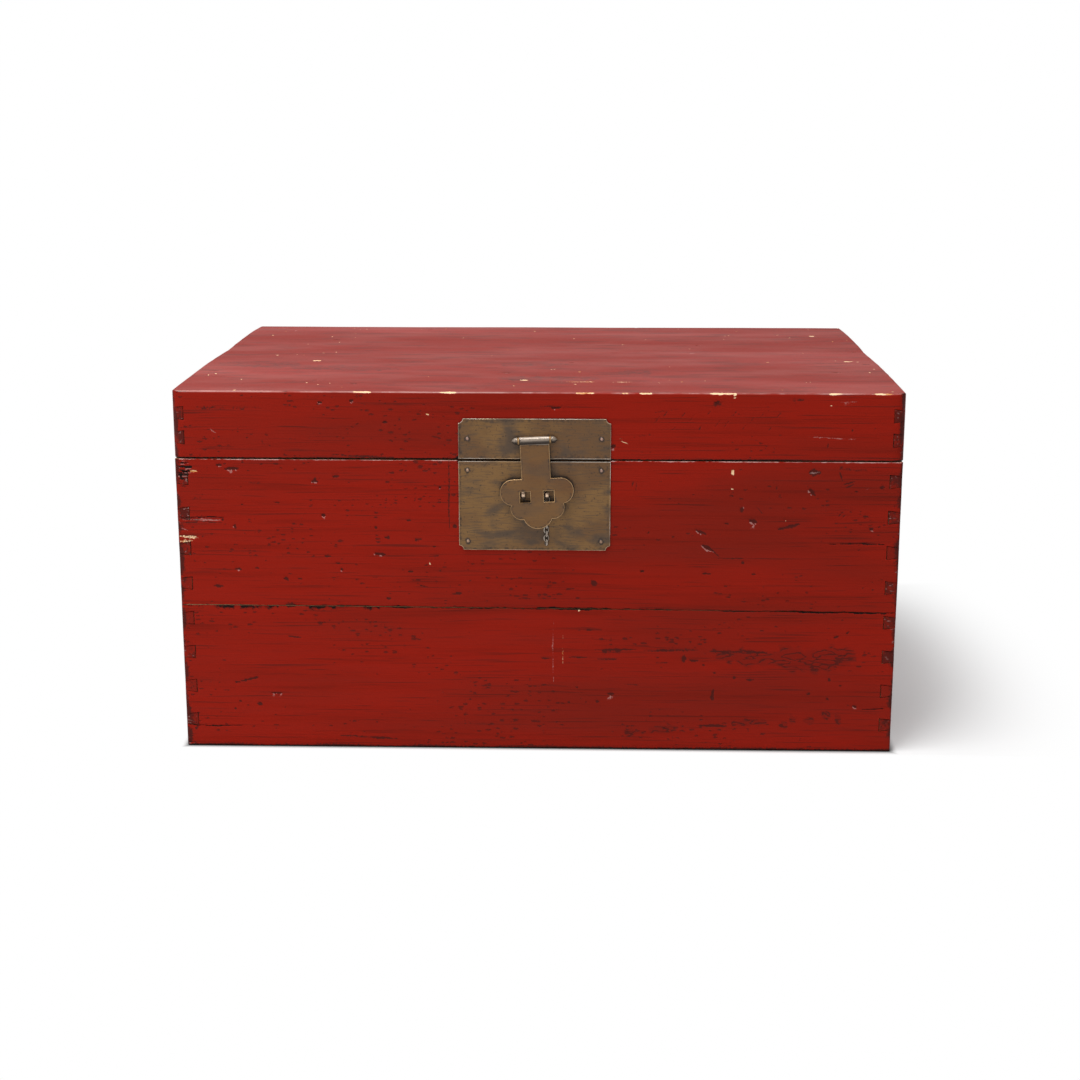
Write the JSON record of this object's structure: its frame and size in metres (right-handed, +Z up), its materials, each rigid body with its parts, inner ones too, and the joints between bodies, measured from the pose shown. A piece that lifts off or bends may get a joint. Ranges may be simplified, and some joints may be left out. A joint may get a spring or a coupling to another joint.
{
  "type": "lacquered trunk",
  "caption": "Low lacquered wooden storage trunk with dovetailed boards, a hinged planked lid, a brass hasp lock with a short chain, and swinging bail handles.",
  "frame": {"origin": "on the floor, under the middle of the carcass", "axes": "+Z up, +Y towards the back, so the lock faces -Y; +X to the right as seen from the front"},
  "size_m": [0.8326, 0.598, 0.4117],
  "materials": {
    "red_lacquer": "glossy worn red lacquer",
    "raw_wood": "bare, aged",
    "dowel_wood": "bare bamboo",
    "aged_brass": "dull brown patina",
    "worn_brass": "handled, partly bright",
    "copper_nails": "worn, coppery",
    "chain_metal": "silvery, worn"
  },
  "bodies": {
    "carcass": {"front_lower_board": "red_lacquer", "front_upper_board": "red_lacquer", "back_lower_board": "red_lacquer", "back_upper_board": "red_lacquer", "left_lower_board": "red_lacquer", "left_upper_board": "red_lacquer", "right_lower_board": "red_lacquer", "right_upper_board": "red_lacquer", "bottom_plank_1": "raw_wood", "bottom_plank_2": "raw_wood", "bottom_plank_3": "raw_wood", "wall_dowels": "dowel_wood", "bottom_dowels": "dowel_wood", "bottom_pegs": "dowel_wood", "lock_plate_lower": "aged_brass", "left_hinge_body_leaf": "aged_brass", "right_hinge_body_leaf": "aged_brass", "left_handle_plate": "aged_brass", "right_handle_plate": "aged_brass", "left_staple": "worn_brass", "right_staple": "worn_brass", "left_handle_front_eye": "worn_brass", "left_handle_back_eye": "worn_brass", "right_handle_front_eye": "worn_brass", "right_handle_back_eye": "worn_brass", "left_hinge_pin": "worn_brass", "right_hinge_pin": "worn_brass", "lock_lower_nails": "copper_nails", "hinge_body_nails": "copper_nails", "left_handle_nails": "copper_nails", "right_handle_nails": "copper_nails"},
    "lid": {"lid_front_board": "red_lacquer", "lid_back_board": "red_lacquer", "lid_left_board": "red_lacquer", "lid_right_board": "red_lacquer", "lid_top_front_plank": "red_lacquer", "lid_top_back_plank": "red_lacquer", "lid_frame_dowels": "dowel_wood", "lid_plank_dowels": "dowel_wood", "lock_plate_upper": "aged_brass", "lock_upper_nails": "copper_nails", "hasp_left_eye": "worn_brass", "hasp_right_eye": "worn_brass", "hasp_pin": "worn_brass", "left_hinge_lid_leaf": "aged_brass", "right_hinge_lid_leaf": "aged_brass", "hinge_lid_nails": "copper_nails"},
    "hasp": {"hasp": "aged_brass"},
    "chain": {"staple_chain": "chain_metal"},
    "left_bail": {"left_handle": "worn_brass"},
    "right_bail": {"right_handle": "worn_brass"}
  },
  "joints": [
    {"name": "lid_open", "type": "hinge", "parent": "carcass", "child": "lid", "pos_m": [0, 0.2897, 0.3344], "axis": [-1, 0, 0], "range_deg": [0, 105]},
    {"name": "hasp_swing", "type": "hinge", "parent": "lid", "child": "hasp", "pos_m": [-0.0028, -0.2909, 0.3573], "axis": [-0.9988, 0, -0.0488], "range_deg": [0, 175]},
    {"name": "chain_swing", "type": "hinge", "parent": "carcass", "child": "chain", "pos_m": [0.0102, -0.2887, 0.2923], "axis": [0, 1, 0], "range_deg": [-35, 35]},
    {"name": "left_bail_swing", "type": "hinge", "parent": "carcass", "child": "left_bail", "pos_m": [-0.40898, 0, 0.25], "axis": [0, 1, 0], "range_deg": [-3, 180]},
    {"name": "right_bail_swing", "type": "hinge", "parent": "carcass", "child": "right_bail", "pos_m": [0.40898, 0, 0.25], "axis": [0, -1, 0], "range_deg": [-3, 180]}
  ]
}
